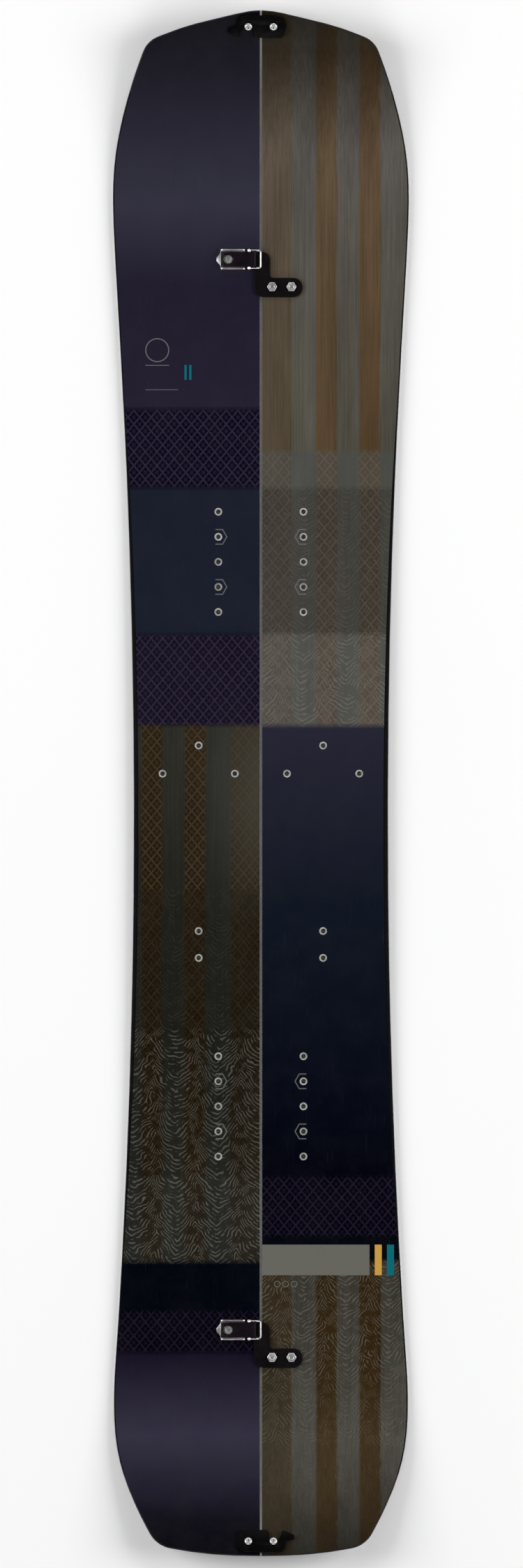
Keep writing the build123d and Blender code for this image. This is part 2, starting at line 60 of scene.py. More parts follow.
def makeStudio():
    data = bpy.data.cameras.new("camera")
    data.lens = studio["lens"]
    data.sensor_width = 36.0
    data.clip_end = 200.0
    camera = bpy.data.objects.new("camera", data)
    away = studio["lens"] / data.sensor_width * studio["tall"]
    camera.location = (*studio["centre"], away + studio["deck"])
    bpy.context.scene.collection.objects.link(camera)
    bpy.context.scene.camera = camera
    bpy.context.scene.view_settings.view_transform = "Standard"

    world = bpy.data.worlds.new("studio")
    world.use_nodes = True
    bpy.context.scene.world = world
    tree = world.node_tree
    spot = tree.nodes.new("ShaderNodeTexCoord")
    split = tree.nodes.new("ShaderNodeSeparateXYZ")
    ramp = tree.nodes.new("ShaderNodeValToRGB")
    ramp.color_ramp.elements[0].color = (studio["horizon"],) * 3 + (1,)
    ramp.color_ramp.elements[1].color = (studio["sky"],) * 3 + (1,)
    ramp.color_ramp.elements[1].position = 0.55
    tree.links.new(spot.outputs["Generated"], split.inputs[0])
    tree.links.new(split.outputs["Z"], ramp.inputs[0])
    tree.links.new(ramp.outputs[0], tree.nodes["Background"].inputs["Color"])

    lamps = [
        ("lampLeft", (-3.4, 0.6, 3.0), 2.4, 3.2, studio["sideLamps"]),
        ("lampRight", (3.4, 0.2, 3.0), 2.4, 3.2, studio["sideLamps"]),
        ("lampNose", (0.3, 4.4, 2.8), 3.0, 1.6, studio["endLamps"]),
        ("lampTail", (-0.3, -4.4, 2.8), 3.0, 1.6, studio["endLamps"]),
    ]
    for name, place, wide, deep, power in lamps:
        light = bpy.data.lights.new(name, "AREA")
        light.shape = "RECTANGLE"
        light.size, light.size_y, light.energy = wide, deep, power
        lamp = bpy.data.objects.new(name, light)
        lamp.location = place
        lamp.rotation_euler = (Vector((0, 0, 0)) - Vector(place)).to_track_quat("-Z", "Y").to_euler()
        bpy.context.scene.collection.objects.link(lamp)


makeStudio()
print("camera and lamps")


# node helpers
def feed(tree, socket, value):
    if isinstance(value, bpy.types.NodeSocket):
        tree.links.new(value, socket)
    else:
        socket.default_value = value


def put(tree, kind, sockets=None, **settings):
    made = tree.nodes.new("ShaderNode" + kind)
    for name, value in settings.items():
        setattr(made, name, value)
    for name, value in (sockets or {}).items():
        feed(tree, made.inputs[name], value)
    return made


def calc(tree, how, first, second=0.0, third=0.0):
    return put(tree, "Math", {0: first, 1: second, 2: third}, operation=how).outputs[0]


def times(tree, first, second):
    return calc(tree, "MULTIPLY", first, second)


def plus(tree, first, second):
    return calc(tree, "ADD", first, second)


def minus(tree, first, second):
    return calc(tree, "SUBTRACT", first, second)


def absolute(tree, value):
    return calc(tree, "ABSOLUTE", value)


def enlarge(tree, vector, factor):
    return put(tree, "VectorMath", {0: vector, "Scale": factor}, operation="SCALE").outputs[0]


def soften(tree, value, low, high, toLow=0.0, toHigh=1.0):
    inputs = {"Value": value, "From Min": low, "From Max": high, "To Min": toLow, "To Max": toHigh}
    return put(tree, "MapRange", inputs, interpolation_type="SMOOTHSTEP").outputs[0]


def mixColor(tree, factor, first, second, how="MIX"):
    made = put(tree, "Mix", data_type="RGBA", blend_type=how)
    feed(tree, made.inputs[0], factor)
    for socket, value in ((made.inputs[6], first), (made.inputs[7], second)):
        if not isinstance(value, bpy.types.NodeSocket):
            value = tuple(value)[:3] + (1,)
        feed(tree, socket, value)
    return made.outputs[2]


def splitXyz(tree, vector):
    return put(tree, "SeparateXYZ", {0: vector}).outputs


def joinXyz(tree, x, y, z=0.0):
    return put(tree, "CombineXYZ", {0: x, 1: y, 2: z}).outputs[0]


def stretch(tree, vector, scale, turn=(0, 0, 0)):
    return put(tree, "Mapping", {"Vector": vector, "Scale": scale, "Rotation": turn}).outputs[0]


def noise(tree, vector, scale=1.0, detail=3.0, rough=0.55, warp=0.0):
    inputs = {
        "Vector": vector, "Scale": scale, "Detail": detail, "Roughness": rough, "Distortion": warp}
    return put(tree, "TexNoise", inputs).outputs[0]


def newGroup(name, inputs, outputs):
    group = bpy.data.node_groups.new(name, "ShaderNodeTree")
    for label, start in inputs:
        kind = "NodeSocketVector" if isinstance(start, tuple) else "NodeSocketFloat"
        socket = group.interface.new_socket(label, in_out="INPUT", socket_type=kind)
        socket.default_value = start
    for label in outputs:
        group.interface.new_socket(label, in_out="OUTPUT", socket_type="NodeSocketFloat")
    return group, group.nodes.new("NodeGroupInput").outputs, group.nodes.new("NodeGroupOutput").inputs


def use(tree, group, **sockets):
    made = put(tree, "Group", node_tree=group)
    for name, value in sockets.items():
        feed(tree, made.inputs[name], value)
    return made.outputs


# shared effects; every Position is in millimetres
def makeLattice():
    # crossing diagonal lines, a fainter set between them, and a speck inside each opening
    group, given, out = newGroup(
        "diamondLattice", [("Position", (0, 0, 0)), ("Wide", 11.7), ("Tall", 14.0), ("Line", 1.5)],
        ["Lines", "Specks"],
    )
    pitch = 9.0  # millimetres between neighbouring lines
    faint = 0.28
    x, y, _ = splitXyz(group, given["Position"])
    across = calc(group, "DIVIDE", x, given["Wide"])
    along = calc(group, "DIVIDE", y, given["Tall"])
    toLine, toMiddle = [], []
    for how in ("ADD", "SUBTRACT"):
        step = calc(group, "FRACT", calc(group, how, across, along))
        middle = absolute(group, minus(group, step, 0.5))
        toMiddle.append(middle)
        toLine.append(times(group, minus(group, 0.5, middle), pitch))
    nearest = calc(group, "MINIMUM", *toLine)
    wide = times(group, given["Line"], 0.85)
    thin = times(group, given["Line"], 0.15)
    ink = soften(group, nearest, wide, thin)
    between = times(group, calc(group, "MINIMUM", *toMiddle), pitch)
    ink = calc(group, "MAXIMUM", ink, times(group, soften(group, between, wide, thin), faint))
    patchy = noise(group, given["Position"], 0.45, 4.0, 0.7)
    ink = times(group, ink, soften(group, patchy, 0.3, 0.62, 0.55, 1.0))
    group.links.new(ink, out["Lines"])
    speck = soften(group, calc(group, "MAXIMUM", *toMiddle), 0.2, 0.06)
    group.links.new(times(group, speck, patchy), out["Specks"])
    return group


def makeStrokes():
    # curved strokes that fan out and down from upright columns, like the barbs of a feather
    group, given, out = newGroup(
        "quillStrokes", [("Position", (0, 0, 0)), ("Column", 43.0), ("Spacing", 4.7)], ["Strokes"])
    swayBy, slope, curve, raggedBy = 22.0, 1.9, -0.035, 15.0
    x, y, _ = splitXyz(group, given["Position"])
    sway = times(group, minus(group, noise(group, given["Position"], 0.03, 2.0), 0.5), swayBy)
    step = calc(group, "FRACT", calc(group, "DIVIDE", plus(group, x, sway), given["Column"]))
    side = times(group, absolute(group, minus(group, step, 0.5)), given["Column"])
    bend = times(group, times(group, side, side), curve)
    drop = plus(group, y, plus(group, times(group, side, slope), bend))
    ragged = times(group, noise(group, given["Position"], 0.05, 3.0), raggedBy)
    drop = plus(group, drop, ragged)
    row = calc(group, "FRACT", calc(group, "DIVIDE", drop, given["Spacing"]))
    barb = absolute(group, minus(group, row, 0.5))
    thin = soften(group, barb, 0.22, 0.05)
    broken = soften(group, noise(group, given["Position"], 0.12, 2.0, 0.5), 0.41, 0.54)
    group.links.new(times(group, thin, broken), out["Strokes"])
    return group


def makeGrain():
    # long fibres down the length, with darker pores
    group, given, out = newGroup(
        "woodFibre", [("Position", (0, 0, 0)), ("Fine", 1.0)], ["Fibre", "Pores", "Cloud"])
    scaled = enlarge(group, given["Position"], given["Fine"])
    fibre = noise(group, stretch(group, scaled, (0.85, 0.012, 0.3)), 1.0, 5.0, 0.65, 0.3)
    group.links.new(fibre, out["Fibre"])
    pores = noise(group, stretch(group, scaled, (2.6, 0.09, 1.0)), 1.0, 3.0, 0.6)
    group.links.new(soften(group, pores, 0.6, 0.75), out["Pores"])
    group.links.new(noise(group, stretch(group, scaled, (0.03, 0.008, 0.03)), 1.0, 3.0), out["Cloud"])
    return group


def makeScuffs():
    # fine scratches in three directions and slow smudges, for gloss and worn metal
    group, given, out = newGroup(
        "handlingScuffs", [("Position", (0, 0, 0)), ("Size", 1.0)], ["Scratches", "Smudge"])
    scaled = enlarge(group, given["Position"], given["Size"])
    marks = []
    for turn, length in ((0.35, 0.03), (1.45, 0.05), (2.4, 0.04)):
        drawn = stretch(group, scaled, (2.2, length, 0.6), (0, 0, turn))
        streak = noise(group, drawn, 1.0, 2.0, 0.5, 0.2)
        marks.append(soften(group, streak, 0.69, 0.78))
    both = calc(group, "MAXIMUM", marks[0], calc(group, "MAXIMUM", marks[1], marks[2]))
    group.links.new(both, out["Scratches"])
    group.links.new(noise(group, scaled, 0.05, 4.0, 0.6), out["Smudge"])
    return group


def makeMoulded():
    # the fine skin of moulded or powder-coated parts
    group, given, out = newGroup(
        "mouldedSkin", [("Position", (0, 0, 0)), ("Grit", 2.2)], ["Height", "Tone"])
    fine = noise(group, given["Position"], given["Grit"], 4.0, 0.7)
    slow = noise(group, given["Position"], 0.12, 3.0)
    group.links.new(fine, out["Height"])
    group.links.new(plus(group, times(group, fine, 0.5), times(group, slow, 0.5)), out["Tone"])
    return group


def makeBrushed():
    # grinding lines that run along the board
    group, given, out = newGroup(
        "grindingLines", [("Position", (0, 0, 0)), ("Pitch", 1.0), ("Long", 0.02)], ["Height", "Tone"])
    x, y, z = splitXyz(group, given["Position"])
    flat = joinXyz(group, times(group, x, given["Pitch"]), times(group, y, given["Long"]),
                   times(group, z, given["Pitch"]))
    lines = noise(group, flat, 1.0, 4.0, 0.75)
    group.links.new(lines, out["Height"])
    slow = noise(group, given["Position"], 0.06, 3.0)
    tone = plus(group, times(group, lines, 0.6), times(group, slow, 0.4))
    group.links.new(tone, out["Tone"])
    return group


def makePanel():
    # a printed rectangle with crisp edges
    group, given, out = newGroup(
        "printedPanel",
        [("Position", (0, 0, 0)), ("Left", 0.0), ("Right", 1.0), ("Low", 0.0), ("High", 1.0)],
        ["Inside"],
    )
    x, y, _ = splitXyz(group, given["Position"])
    sides = [
        minus(group, x, given["Left"]), minus(group, given["Right"], x),
        minus(group, y, given["Low"]), minus(group, given["High"], y),
    ]
    least = calc(
        group, "MINIMUM", calc(group, "MINIMUM", *sides[:2]), calc(group, "MINIMUM", *sides[2:]))
    group.links.new(soften(group, least, -0.1, 0.1), out["Inside"])
    return group


def makeHexMark():
    # the outline of a hexagon, open on the side away from the seam
    group, given, out = newGroup(
        "hexOutline",
        [("Position", (0, 0, 0)), ("Across", 0.0), ("Along", 0.0), ("Size", 7.4), ("Line", 0.8)],
        ["Line"],
    )
    x, y, _ = splitXyz(group, given["Position"])
    inward = minus(group, given["Across"], absolute(group, x))  # grows towards the seam
    up = absolute(group, minus(group, y, given["Along"]))
    slanted = plus(group, times(group, inward, 0.866), times(group, up, 0.5))
    reach = calc(group, "MAXIMUM", up, slanted)
    off = absolute(group, minus(group, reach, given["Size"]))
    ring = soften(group, off, given["Line"], times(group, given["Line"], 0.3))
    shut = soften(group, inward, -3.2, -2.6)
    group.links.new(times(group, ring, shut), out["Line"])
    return group


groups = {
    "lattice": makeLattice(), "strokes": makeStrokes(), "grain": makeGrain(), "scuffs": makeScuffs(),
    "moulded": makeMoulded(), "brushed": makeBrushed(), "panel": makePanel(), "hex": makeHexMark(),
}
print("node groups:", ", ".join(groups))


# materials
def newMaterial(name, scale=1000.0):
    # scale takes the object's metres to the millimetres that every effect works in
    made = bpy.data.materials.new(name)
    made.use_nodes = True
    tree = made.node_tree
    spot = put(tree, "TexCoord").outputs["Object"]
    return made, tree, tree.nodes["Principled BSDF"], enlarge(tree, spot, scale)


def bump(tree, shader, height, strength, depth):
    made = put(tree, "Bump", {"Height": height, "Strength": strength, "Distance": depth})
    tree.links.new(made.outputs[0], shader.inputs["Normal"])


# inks of the printed top
deepInk = (0.0002, 0.001, 0.0032)
violetLine, nightLine = (0.027, 0.02, 0.045), (0.0155, 0.0105, 0.029)
woodLine, darkLine, paleLine = (0.068, 0.048, 0.026), (0.034, 0.022, 0.01), (0.175, 0.14, 0.108)
paleInk, tealInk = (0.125, 0.122, 0.13), (0.0021, 0.1384, 0.1699)
orangeInk, labelInk = (0.5647, 0.3185, 0.063), (0.134, 0.131, 0.112)


def solid(top, low, first, last=None, lattice=0, line=deepInk):
    # a band of one colour, or one that turns into another from its top to its low end
    pair = (first, last or first)
    marks = ((lattice, 0, 0),) * 2
    return {"top": top, "low": low, "brown": pair, "grey": pair, "marks": marks, "line": (line,) * 2}


def wood(top, low, brown, grey, lattice=0, strokes=0, fibre=1, line=woodLine):
    # a band of brown and grey wood stripes; the marks go from 0, none, to 1
    marks = ((lattice, strokes, fibre),) * 2
    return {"top": top, "low": low, "brown": brown, "grey": grey, "marks": marks, "line": (line,) * 2}


# in millimetres from the board's centre; the bands go from nose to tail
# panels are left, right, low, high; rings are across, along, radius, line
leftPrintLook = {
    "bands": [
        # from 790 to 505 the colour is brightest at 589: a painted sheen where the nose starts to
        # curve up, darker towards the tip and towards the middle
        solid(790, 760, (0.0022, 0.002, 0.0042), (0.0058, 0.0054, 0.0096)),
        solid(760, 589, (0.0058, 0.0054, 0.0096), (0.032, 0.03, 0.049)),
        solid(589, 505, (0.032, 0.03, 0.049), (0.0138, 0.0112, 0.0245)),
        solid(505, 382, (0.0138, 0.0112, 0.0245), (0.0172, 0.0138, 0.0285)),
        solid(382, 296.6, (0.0024, 0.001, 0.007), lattice=1.0, line=violetLine),
        solid(296.6, 153.3, (0.0092, 0.0126, 0.0232)),
        solid(153.3, 61.4, (0.005, 0.0032, 0.01), lattice=1.0, line=(0.029, 0.0205, 0.0455)),
        wood(61.4, -110, ((0.02, 0.0135, 0.0058), (0.013, 0.0084, 0.0032)),
             ((0.023, 0.0236, 0.0186), (0.015, 0.0156, 0.0118)), lattice=0.7),
        wood(-110, -250, ((0.013, 0.0084, 0.0032), (0.01, 0.0064, 0.0022)),
             ((0.015, 0.0156, 0.0118), (0.0116, 0.0116, 0.0084)),
             lattice=0.6, strokes=0.12, line=darkLine),
        wood(-250, -397.6, ((0.01, 0.0064, 0.0022), (0.013, 0.0086, 0.0036)),
             ((0.0116, 0.0116, 0.0084), (0.015, 0.0148, 0.0112)),
             lattice=0.5, strokes=0.8, line=darkLine),
        wood(-397.6, -483.1, ((0.017, 0.0138, 0.0088),) * 2,
             ((0.019, 0.0193, 0.0154),) * 2, lattice=0.3, strokes=1.0, line=darkLine),
        solid(-483.1, -535.4, deepInk),
        solid(-535.4, -579.2, (0.0003, 0.0001, 0.0018), lattice=0.75, line=nightLine),
        # from -579.2 to -790 the colour is brightest at -661: a painted sheen where the tail starts to
        # curve up, darker towards the tip and towards the middle
        solid(-579.2, -661, (0.0074, 0.0052, 0.015), (0.033, 0.029, 0.052)),
        solid(-661, -745, (0.033, 0.029, 0.052), (0.0046, 0.004, 0.0084)),
        solid(-745, -790, (0.0046, 0.004, 0.0084), (0.0008, 0.0008, 0.0026)),
    ],
    "strokeColor": (0.15, 0.152, 0.132),
    "glow": 0.028,
    "panels": [
        (-117, -93, 423.2, 424.0, paleInk), (-117, -84, 398.6, 399.2, paleInk),
        (-77.4, -75.2, 409, 424, tealInk), (-72.6, -70.4, 409, 424, tealInk),
    ],
    "rings": [(-105, 439, 11.6, 0.7, paleInk)],
}
rightPrintLook = {
    "bands": [
        # from 790 to 296.6 the colour is brightest at 640: a painted sheen where the nose starts to
        # curve up, darkening strongly towards the tip
        wood(790, 745, ((0.01, 0.0062, 0.0018), (0.024, 0.0165, 0.0085)),
             ((0.012, 0.0098, 0.0065), (0.027, 0.024, 0.019)), line=paleLine),
        wood(745, 640, ((0.022, 0.015, 0.007), (0.094, 0.069, 0.045)),
             ((0.025, 0.022, 0.017), (0.09, 0.082, 0.073)), line=paleLine),
        wood(640, 336.2, ((0.094, 0.069, 0.045), (0.076, 0.053, 0.029)),
             ((0.09, 0.082, 0.073), (0.076, 0.071, 0.0545)), line=paleLine),
        wood(336.2, 296.6, ((0.07, 0.061, 0.048),) * 2,
             ((0.0705, 0.072, 0.0625),) * 2, lattice=0.32, fibre=0.5, line=paleLine),
        wood(296.6, 153.3, ((0.043, 0.036, 0.029),) * 2,
             ((0.051, 0.05, 0.043),) * 2,
             lattice=0.4, strokes=0.25, fibre=0.6, line=(0.125, 0.098, 0.078)),
        wood(153.3, 61.4, ((0.074, 0.064, 0.054),) * 2,
             ((0.08, 0.0805, 0.071),) * 2, lattice=0.38, strokes=0.85, fibre=0.5, line=paleLine),
        solid(61.4, -124, (0.0185, 0.018, 0.033), (0.0045, 0.0074, 0.015)),
        solid(-124, -397.6, (0.0045, 0.0074, 0.0155), (0.0, 0.0003, 0.0034)),
        solid(-397.6, -462.6, (0.0003, 0.0001, 0.0018), lattice=0.9, line=nightLine),
        solid(-462.6, -483.1, deepInk),
        # from -483.1 to -790 the colour is brightest at -670: a painted sheen where the tail starts to
        # curve up, darker towards the tip
        wood(-483.1, -600, ((0.024, 0.0132, 0.0022), (0.032, 0.0195, 0.0055)),
             ((0.037, 0.0345, 0.0265), (0.054, 0.0518, 0.0415)), lattice=0.2, strokes=0.7),
        wood(-600, -670, ((0.032, 0.0195, 0.0055), (0.043, 0.03, 0.015)),
             ((0.054, 0.0518, 0.0415), (0.068, 0.0665, 0.055)), strokes=0.4),
        wood(-670, -720, ((0.043, 0.03, 0.015), (0.038, 0.0265, 0.0125)),
             ((0.068, 0.0665, 0.055), (0.048, 0.045, 0.036)), strokes=0.12),
        wood(-720, -790, ((0.038, 0.0265, 0.0125), (0.015, 0.0105, 0.005)),
             ((0.048, 0.045, 0.036), (0.017, 0.0155, 0.012))),
    ],
    "strokeColor": (0.18, 0.172, 0.145),
    "glow": 0.0,
    "panels": [
        (1.3, 110, -498.6, -467.6, labelInk), (115.3, 122.4, -498.6, -467.6, orangeInk),
        (127.7, 134.8, -498.6, -467.6, tealInk),
    ],
    "rings": [
        (16.5, -507.5, 2.9, 0.5, labelInk), (25, -507.5, 2.9, 0.5, labelInk),
        (33.5, -507.5, 2.9, 0.5, labelInk),
    ],
}
# what both printed tops share, in millimetres and in shares from 0 to 1
printLook = {
    "wander": 7.0,             # how far the fibre pushes a stripe's edge
    "edgeBlend": 1.2,
    "redShare": 0.6,
    "redTint": (1.06, 0.86, 0.62),
    "poreDark": 0.22,
    "glowAcross": 75.0,        # how far the brighter wood reaches from the seam and along it
    "glowAlong": 150.0,
    "glowCentre": -10.0,
    "specks": 0.5,
    "strokeInk": 0.55,
    "hexAcross": 43.1,
    "hexRows": (249.8, 199.0, -302.0, -352.8),
    "hexInk": 0.7,
    "hexColor": (0.16, 0.16, 0.16),
    "scratches": 0.02,
    "scratchColor": (0.30, 0.30, 0.30),
    "satin": 0.3,
    "gloss": 0.12,
    "coat": 0.03,
    "coatRough": 0.22,
    "relief": 0.22,
    "reliefDepth": 0.00012,
}
# stripes from the seam outwards: brown, grey, brown, grey, red-brown, grey
stripeEdges = (31.0, 56.0, 77.0, 100.0, 121.0)
# how brown each is, then how red
stripeShades = [(0.8, 0, 0), (0, 0, 0), (1, 0.7, 0), (0.06, 0, 0), (1, 1, 0), (0, 0, 0)]
halfWidth = 150.0
boardEnd = 790.0
bandStep = 0.15  # on each side of a step between bands


def fillRamp(tree, value, stops):
    ramp = put(tree, "ValToRGB", {0: value})
    elements = ramp.color_ramp.elements
    for index, (place, color) in enumerate(stops):
        element = elements[index] if index < 2 else elements.new(place)
        element.position = place
        element.color = tuple(color)[:3] + (1,)
    return ramp.outputs[0]


def bandRamp(tree, along, bands, what):
    # one colour ramp down the board's length, with a hard step between bands
    stops = []
    for band in reversed(bands):
        first, last = band[what]
        stops += [(band["low"] + bandStep, last), (band["top"] - bandStep, first)]
    stops = [((place + boardEnd) / (2 * boardEnd), color) for place, color in stops]
    return fillRamp(tree, along, stops)


def makeStripes(tree, across, fibre):
    # stripes along the length, whose edges wander a little with the fibre
    wander = times(tree, minus(tree, fibre, 0.5), printLook["wander"])
    blend = printLook["edgeBlend"]
    stops = [(0.0, stripeShades[0])]
    for edge, before, after in zip(stripeEdges, stripeShades, stripeShades[1:]):
        stops += [(edge - blend, before), (edge + blend, after)]
    stops = [(place / halfWidth, shade) for place, shade in stops]
    ramp = fillRamp(tree, calc(tree, "DIVIDE", plus(tree, across, wander), halfWidth), stops)
    return put(tree, "SeparateColor", {0: ramp}).outputs


def addFibre(tree, color, fibre, redShare, share):
    # redder stripes, streaks, slow clouds and dark pores, as far as the band shows wood
    reddish = times(tree, times(tree, redShare, printLook["redShare"]), share)
    redder = mixColor(tree, 1.0, color, printLook["redTint"], "MULTIPLY")
    color = mixColor(tree, reddish, color, redder)
    streaks = soften(tree, fibre["Fibre"], 0.25, 0.75, 0.80, 1.22)
    clouds = soften(tree, fibre["Cloud"], 0.25, 0.75, 0.84, 1.16)
    dark = minus(tree, 1.0, times(tree, fibre["Pores"], printLook["poreDark"]))
    tone = times(tree, times(tree, streaks, clouds), dark)
    tone = plus(tree, 1.0, times(tree, minus(tree, tone, 1.0), share))
    return mixColor(tree, 1.0, color, joinXyz(tree, tone, tone, tone), "MULTIPLY")


def addGlow(tree, color, across, y, glow, share):
    # the wood bands brighten towards the seam near the middle of the board
    nearSeam = soften(tree, across, printLook["glowAcross"], 0.0)
    off = absolute(tree, minus(tree, y, printLook["glowCentre"]))
    near = times(tree, nearSeam, soften(tree, off, printLook["glowAlong"], 0.0))
    near = times(tree, times(tree, near, glow), share)
    return mixColor(tree, 1.0, color, joinXyz(tree, near, near, times(tree, near, 0.9)), "ADD")


def addMarks(tree, color, position, look):
    # plain panels, rings and open hexagons
    x, y, _ = splitXyz(tree, position)
    for left, right, low, high, paint in look["panels"]:
        box = {"Left": left, "Right": right, "Low": low, "High": high}
        panel = use(tree, groups["panel"], Position=position, **box)
        color = mixColor(tree, panel["Inside"], color, paint)
    for centreX, centreY, radius, line, paint in look["rings"]:
        spots = {0: joinXyz(tree, x, y), 1: (centreX, centreY, 0)}
        away = put(tree, "VectorMath", spots, operation="DISTANCE").outputs["Value"]
        off = absolute(tree, minus(tree, away, radius))
        color = mixColor(tree, soften(tree, off, line, line * 0.5), color, paint)
    for row in printLook["hexRows"]:
        mark = use(tree, groups["hex"], Position=position, Across=printLook["hexAcross"], Along=row)
        ink = times(tree, mark["Line"], printLook["hexInk"])
        color = mixColor(tree, ink, color, printLook["hexColor"])
    return color


def makePrint(name, look):
    made, tree, shader, position = newMaterial(name)
    x, y, _ = splitXyz(tree, position)
    across = absolute(tree, x)
    along = calc(tree, "DIVIDE", plus(tree, y, boardEnd), 2 * boardEnd)
    brown, grey, marks, lineColor = [
        bandRamp(tree, along, look["bands"], what) for what in ("brown", "grey", "marks", "line")]
    latticeShare, strokeShare, fibreShare = put(tree, "SeparateColor", {0: marks}).outputs

    fibre = use(tree, groups["grain"], Position=position, Fine=1.0)
    brownShare, redShare, _ = makeStripes(tree, across, fibre["Fibre"])
    color = mixColor(tree, brownShare, grey, brown)
    color = addFibre(tree, color, fibre, redShare, fibreShare)
    if look["glow"]:
        color = addGlow(tree, color, across, y, look["glow"], fibreShare)

    # on the wood bands the lattice keeps to the brown stripes
    lattice = use(tree, groups["lattice"], Position=position)
    wooded = calc(tree, "GREATER_THAN", fibreShare, 0.3)
    kept = calc(tree, "MAXIMUM", minus(tree, 1.0, wooded), brownShare)
    ink = plus(tree, lattice["Lines"], times(tree, lattice["Specks"], printLook["specks"]))
    ink = times(tree, times(tree, ink, latticeShare), kept)
    color = mixColor(tree, ink, color, lineColor)
    strokes = use(tree, groups["strokes"], Position=position)["Strokes"]
    strokeInk = times(tree, times(tree, strokes, strokeShare), printLook["strokeInk"])
    color = mixColor(tree, strokeInk, color, look["strokeColor"])
    color = addMarks(tree, color, position, look)

    scuffs = use(tree, groups["scuffs"], Position=position, Size=0.7)
    scratches = scuffs["Scratches"]
    worn = times(tree, scratches, printLook["scratches"])
    color = mixColor(tree, worn, color, printLook["scratchColor"])
    tree.links.new(color, shader.inputs["Base Color"])
    satin = printLook["satin"]
    rough = soften(tree, scuffs["Smudge"], 0.3, 0.7, satin - 0.05, satin + 0.07)
    tree.links.new(plus(tree, rough, times(tree, scratches, 0.12)), shader.inputs["Roughness"])
    shader.inputs["Specular IOR Level"].default_value = printLook["gloss"]
    shader.inputs["Coat Weight"].default_value = printLook["coat"]
    shader.inputs["Coat Roughness"].default_value = printLook["coatRough"]
    relief = times(tree, times(tree, fibre["Fibre"], fibreShare), 0.6)
    relief = plus(tree, relief, times(tree, ink, 0.5))
    relief = minus(tree, relief, times(tree, scratches, 0.3))
    bump(tree, shader, relief, printLook["relief"], printLook["reliefDepth"])
    return made


# pale grey on the seam wall and on the tip fill next to the seam: a painted highlight standing in for
# the light the steel edges catch along the seam
paintedSeamHighlight = (0.25, 0.255, 0.255)
paintedSeamHighlightEdge = (1.5, 1.3)  # where the painted seam highlight fades in, millimetres from the seam


def plainLook(name, color, spread, rough, metal=0.0, effect="moulded", grit=2.2, pitch=1.2,
              bumpDepth=0.00003, strength=0.3, scratch=0.1, gloss=0.5, seamHighlightColor=None):
    # one builder for the moulded, painted and metal finishes; what differs is given per finish below
    made, tree, shader, position = newMaterial(name)
    if effect == "moulded":
        skin = use(tree, groups["moulded"], Position=position, Grit=grit)
    else:
        skin = use(tree, groups["brushed"], Position=position, Pitch=pitch)
    scuffs = use(tree, groups["scuffs"], Position=position, Size=1.6)
    low = tuple(c * (1 - spread) for c in color)
    high = tuple(min(1.0, c * (1 + spread)) for c in color)
    shade = mixColor(tree, soften(tree, skin["Tone"], 0.3, 0.7), low, high)
    worn = times(tree, scuffs["Scratches"], scratch)
    shade = mixColor(tree, worn, shade, tuple(min(1.0, c * 2.2 + 0.05) for c in color))
    # next to the seam, a painted highlight in pale grey
    if seamHighlightColor:
        seamHighlightMask = soften(tree, absolute(tree, splitXyz(tree, position)[0]), *paintedSeamHighlightEdge)
        shade = mixColor(tree, seamHighlightMask, shade, seamHighlightColor)
    tree.links.new(shade, shader.inputs["Base Color"])
    uneven = soften(tree, scuffs["Smudge"], 0.3, 0.7, rough * 0.85, min(1.0, rough * 1.15))
    tree.links.new(plus(tree, uneven, times(tree, skin["Tone"], 0.06)), shader.inputs["Roughness"])
    shader.inputs["Metallic"].default_value = metal
    shader.inputs["Specular IOR Level"].default_value = gloss
    bump(tree, shader, minus(tree, skin["Height"], worn), strength, bumpDepth)
    return made


def makeCore():
    # vertical laminated strips of pale wood with dark glue lines
    made, tree, shader, position = newMaterial("coreWood")
    x, _, _ = splitXyz(tree, position)
    fibre = use(tree, groups["grain"], Position=position, Fine=1.4)
    strip = calc(tree, "FRACT", calc(tree, "DIVIDE", x, 18.0))
    glue = soften(tree, absolute(tree, minus(tree, strip, 0.5)), 0.47, 0.49)
    pale = mixColor(tree, fibre["Fibre"], (0.42, 0.27, 0.14), (0.62, 0.45, 0.26))
    pale = mixColor(tree, times(tree, fibre["Pores"], 0.5), pale, (0.2, 0.11, 0.05))
    pale = mixColor(tree, times(tree, glue, 0.7), pale, (0.12, 0.07, 0.04))
    tree.links.new(pale, shader.inputs["Base Color"])
    tree.links.new(soften(tree, fibre["Fibre"], 0.2, 0.8, 0.55, 0.75), shader.inputs["Roughness"])
    bump(tree, shader, fibre["Fibre"], 0.4, 0.0002)
    return made


def makeLaminate():
    # glass cloth in clear resin, seen at cut edges
    made, tree, shader, position = newMaterial("glassLaminate")
    x, y, _ = splitXyz(tree, position)
    weave = []
    for value in (x, y):
        wave = calc(tree, "SINE", times(tree, value, 4.2))
        weave.append(absolute(tree, wave))
    cloth = times(tree, plus(tree, *weave), 0.5)
    skin = use(tree, groups["moulded"], Position=position, Grit=1.4)
    color = mixColor(tree, cloth, (0.16, 0.17, 0.12), (0.34, 0.35, 0.26))
    tone = soften(tree, skin["Tone"], 0.2, 0.8, 0.8, 1.15)
    color = mixColor(tree, 1.0, color, joinXyz(tree, tone, tone, tone), "MULTIPLY")
    tree.links.new(color, shader.inputs["Base Color"])
    tree.links.new(soften(tree, cloth, 0, 1, 0.45, 0.3), shader.inputs["Roughness"])
    bump(tree, shader, cloth, 0.25, 0.00006)
    return made


def steelLook(name, color, spread, rough, **changes):
    given = {"metal": 1.0, "scratch": 0.3, "bumpDepth": 0.00001}
    given.update(changes)
    return plainLook(name, color, spread, rough, **given)


